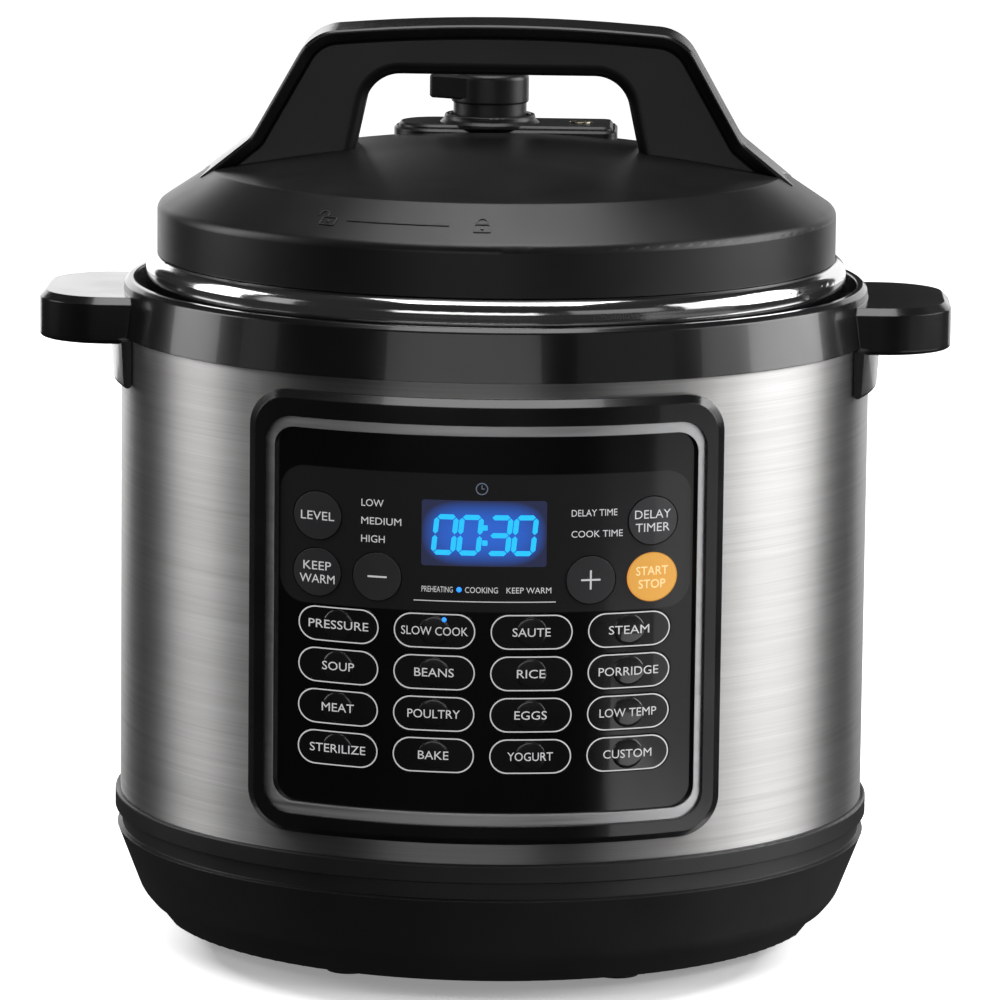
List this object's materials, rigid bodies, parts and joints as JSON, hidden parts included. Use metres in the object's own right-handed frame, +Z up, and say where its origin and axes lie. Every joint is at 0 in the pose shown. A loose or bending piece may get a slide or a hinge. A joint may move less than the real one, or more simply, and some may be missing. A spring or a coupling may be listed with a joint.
{
  "type": "electric pressure cooker",
  "caption": "Round electric pressure cooker with a brushed steel body, bridge-handled locking lid, side handles and a keypad panel with a lit display.",
  "frame": {"origin": "on the floor, under the middle of the object and on the pot's axis", "axes": "+Z up; the control panel faces -Y; the side handles and the lid's bridge lie along X"},
  "size_m": [0.335, 0.285, 0.3358],
  "materials": {
    "base_plastic": "satin black moulded plastic with fine grain",
    "inner_plastic": "plain black moulding",
    "gloss_black": "gloss black moulded plastic",
    "lid_plastic": "satin black moulded plastic",
    "handle_gloss": "semi-gloss black moulded plastic",
    "valve_plastic": "satin black moulded plastic",
    "brushed_sleeve": "stainless steel brushed round the body",
    "polished_rim": "polished stainless steel",
    "silver_trim": "satin silver with a bright edge",
    "panel_film": "clear gloss over black print",
    "display_window": "clear lens over a backlit blue display",
    "preset_key": "gloss black key with a light outline",
    "round_key": "dark grey key",
    "start_key": "amber key",
    "rubber": "black rubber",
    "silicone": "translucent white silicone",
    "zinc_steel": "zinc-plated steel",
    "pressed_steel": "pressed stainless steel",
    "pot_steel": "stainless steel, satin inside and polished at the rim",
    "chamber_metal": "drawn aluminium",
    "cast_heater": "cast aluminium",
    "spring_steel": "drawn spring steel",
    "contact_metal": "nickel-plated brass",
    "circuit_board": "green solder mask"
  },
  "bodies": {
    "housing": {"base_shell": "base_plastic", "bottom_plate": "base_plastic", "rubber_feet": "rubber", "base_screws": "zinc_steel", "power_inlet": "inner_plastic", "inlet_pins": "contact_metal", "body_shell": "brushed_sleeve", "top_collar": "gloss_black", "panel_frame": "gloss_black", "panel_trim": "silver_trim", "panel_overlay": "panel_film", "display_window": "display_window", "display_module": "inner_plastic", "control_board": "circuit_board", "tact_switches": "inner_plastic", "power_board": "circuit_board", "outer_pot": "chamber_metal", "locking_ring": "pressed_steel", "heating_plate": "cast_heater", "heating_element": "pressed_steel", "plate_springs": "spring_steel", "plate_posts": "zinc_steel", "thermal_cutout": "contact_metal", "sensor_spring": "spring_steel"},
    "temperature_sensor": {"temperature_sensor": "pressed_steel"},
    "inner_pot": {"inner_pot": "pot_steel"},
    "sealing_ring": {"sealing_ring": "silicone"},
    "lid": {"seal_rack": "pressed_steel", "lid_plate": "polished_rim", "lid_cover": "lid_plastic", "lid_handle": "lid_plastic", "handle_cap": "handle_gloss", "handle_screws": "zinc_steel", "steam_valve_pipe": "contact_metal", "valve_filter_cap": "pressed_steel"},
    "steam_valve": {"steam_valve_knob": "valve_plastic"},
    "float_valve": {"float_valve": "contact_metal", "float_gasket": "silicone"},
    "key_level": {"key_level": "round_key"},
    "key_keep_warm": {"key_keep_warm": "round_key"},
    "key_minus": {"key_minus": "round_key"},
    "key_plus": {"key_plus": "round_key"},
    "key_delay_timer": {"key_delay_timer": "round_key"},
    "key_start_cancel": {"key_start_cancel": "start_key"},
    "key_pressure": {"key_pressure": "preset_key"},
    "key_slow": {"key_slow": "preset_key"},
    "key_saute": {"key_saute": "preset_key"},
    "key_steam": {"key_steam": "preset_key"},
    "key_soup": {"key_soup": "preset_key"},
    "key_bean": {"key_bean": "preset_key"},
    "key_rice": {"key_rice": "preset_key"},
    "key_porridge": {"key_porridge": "preset_key"},
    "key_beef": {"key_beef": "preset_key"},
    "key_chicken": {"key_chicken": "preset_key"},
    "key_egg": {"key_egg": "preset_key"},
    "key_sous_vide": {"key_sous_vide": "preset_key"},
    "key_sterilize": {"key_sterilize": "preset_key"},
    "key_bake": {"key_bake": "preset_key"},
    "key_yogurt": {"key_yogurt": "preset_key"},
    "key_custom": {"key_custom": "preset_key"}
  },
  "joints": [
    {"name": "sensor_press", "type": "slide", "parent": "housing", "child": "temperature_sensor", "axis": [0, 0, 1], "range_m": [-0.0015, 0], "stiffness_N_per_m": 400, "springref_m": 0.0015, "deforming": ["sensor_spring"]},
    {"name": "pot_lift", "type": "slide", "parent": "housing", "child": "inner_pot", "axis": [0, 0, 1], "range_m": [0, 0.2]},
    {"name": "lid_lift", "type": "slide", "parent": "inner_pot", "child": "sealing_ring", "axis": [0, 0, 1], "range_m": [0, 0.1]},
    {"name": "lid_turn", "type": "hinge", "parent": "sealing_ring", "child": "lid", "pos_m": [0, 0, 0.25], "axis": [0, 0, 1], "range_deg": [0, 30]},
    {"name": "valve_turn", "type": "hinge", "parent": "lid", "child": "steam_valve", "pos_m": [-0.004, 0.045, 0.305], "axis": [0, 0, 1], "range_deg": [0, 45]},
    {"name": "float_rise", "type": "slide", "parent": "lid", "child": "float_valve", "axis": [0, 0, 1], "range_m": [0, 0.004]},
    {"name": "press_level", "type": "slide", "parent": "housing", "child": "key_level", "axis": [0, 1, 0], "range_m": [0, 0.0005], "stiffness_N_per_m": 1500},
    {"name": "press_keep_warm", "type": "slide", "parent": "housing", "child": "key_keep_warm", "axis": [0, 1, 0], "range_m": [0, 0.0005], "stiffness_N_per_m": 1500},
    {"name": "press_minus", "type": "slide", "parent": "housing", "child": "key_minus", "axis": [0, 1, 0], "range_m": [0, 0.0005], "stiffness_N_per_m": 1500},
    {"name": "press_plus", "type": "slide", "parent": "housing", "child": "key_plus", "axis": [0, 1, 0], "range_m": [0, 0.0005], "stiffness_N_per_m": 1500},
    {"name": "press_delay_timer", "type": "slide", "parent": "housing", "child": "key_delay_timer", "axis": [0, 1, 0], "range_m": [0, 0.0005], "stiffness_N_per_m": 1500},
    {"name": "press_start_cancel", "type": "slide", "parent": "housing", "child": "key_start_cancel", "axis": [0, 1, 0], "range_m": [0, 0.0005], "stiffness_N_per_m": 1500},
    {"name": "press_pressure", "type": "slide", "parent": "housing", "child": "key_pressure", "axis": [0, 1, 0], "range_m": [0, 0.0005], "stiffness_N_per_m": 1500},
    {"name": "press_slow", "type": "slide", "parent": "housing", "child": "key_slow", "axis": [0, 1, 0], "range_m": [0, 0.0005], "stiffness_N_per_m": 1500},
    {"name": "press_saute", "type": "slide", "parent": "housing", "child": "key_saute", "axis": [0, 1, 0], "range_m": [0, 0.0005], "stiffness_N_per_m": 1500},
    {"name": "press_steam", "type": "slide", "parent": "housing", "child": "key_steam", "axis": [0, 1, 0], "range_m": [0, 0.0005], "stiffness_N_per_m": 1500},
    {"name": "press_soup", "type": "slide", "parent": "housing", "child": "key_soup", "axis": [0, 1, 0], "range_m": [0, 0.0005], "stiffness_N_per_m": 1500},
    {"name": "press_bean", "type": "slide", "parent": "housing", "child": "key_bean", "axis": [0, 1, 0], "range_m": [0, 0.0005], "stiffness_N_per_m": 1500},
    {"name": "press_rice", "type": "slide", "parent": "housing", "child": "key_rice", "axis": [0, 1, 0], "range_m": [0, 0.0005], "stiffness_N_per_m": 1500},
    {"name": "press_porridge", "type": "slide", "parent": "housing", "child": "key_porridge", "axis": [0, 1, 0], "range_m": [0, 0.0005], "stiffness_N_per_m": 1500},
    {"name": "press_beef", "type": "slide", "parent": "housing", "child": "key_beef", "axis": [0, 1, 0], "range_m": [0, 0.0005], "stiffness_N_per_m": 1500},
    {"name": "press_chicken", "type": "slide", "parent": "housing", "child": "key_chicken", "axis": [0, 1, 0], "range_m": [0, 0.0005], "stiffness_N_per_m": 1500},
    {"name": "press_egg", "type": "slide", "parent": "housing", "child": "key_egg", "axis": [0, 1, 0], "range_m": [0, 0.0005], "stiffness_N_per_m": 1500},
    {"name": "press_sous_vide", "type": "slide", "parent": "housing", "child": "key_sous_vide", "axis": [0, 1, 0], "range_m": [0, 0.0005], "stiffness_N_per_m": 1500},
    {"name": "press_sterilize", "type": "slide", "parent": "housing", "child": "key_sterilize", "axis": [0, 1, 0], "range_m": [0, 0.0005], "stiffness_N_per_m": 1500},
    {"name": "press_bake", "type": "slide", "parent": "housing", "child": "key_bake", "axis": [0, 1, 0], "range_m": [0, 0.0005], "stiffness_N_per_m": 1500},
    {"name": "press_yogurt", "type": "slide", "parent": "housing", "child": "key_yogurt", "axis": [0, 1, 0], "range_m": [0, 0.0005], "stiffness_N_per_m": 1500},
    {"name": "press_custom", "type": "slide", "parent": "housing", "child": "key_custom", "axis": [0, 1, 0], "range_m": [0, 0.0005], "stiffness_N_per_m": 1500}
  ]
}
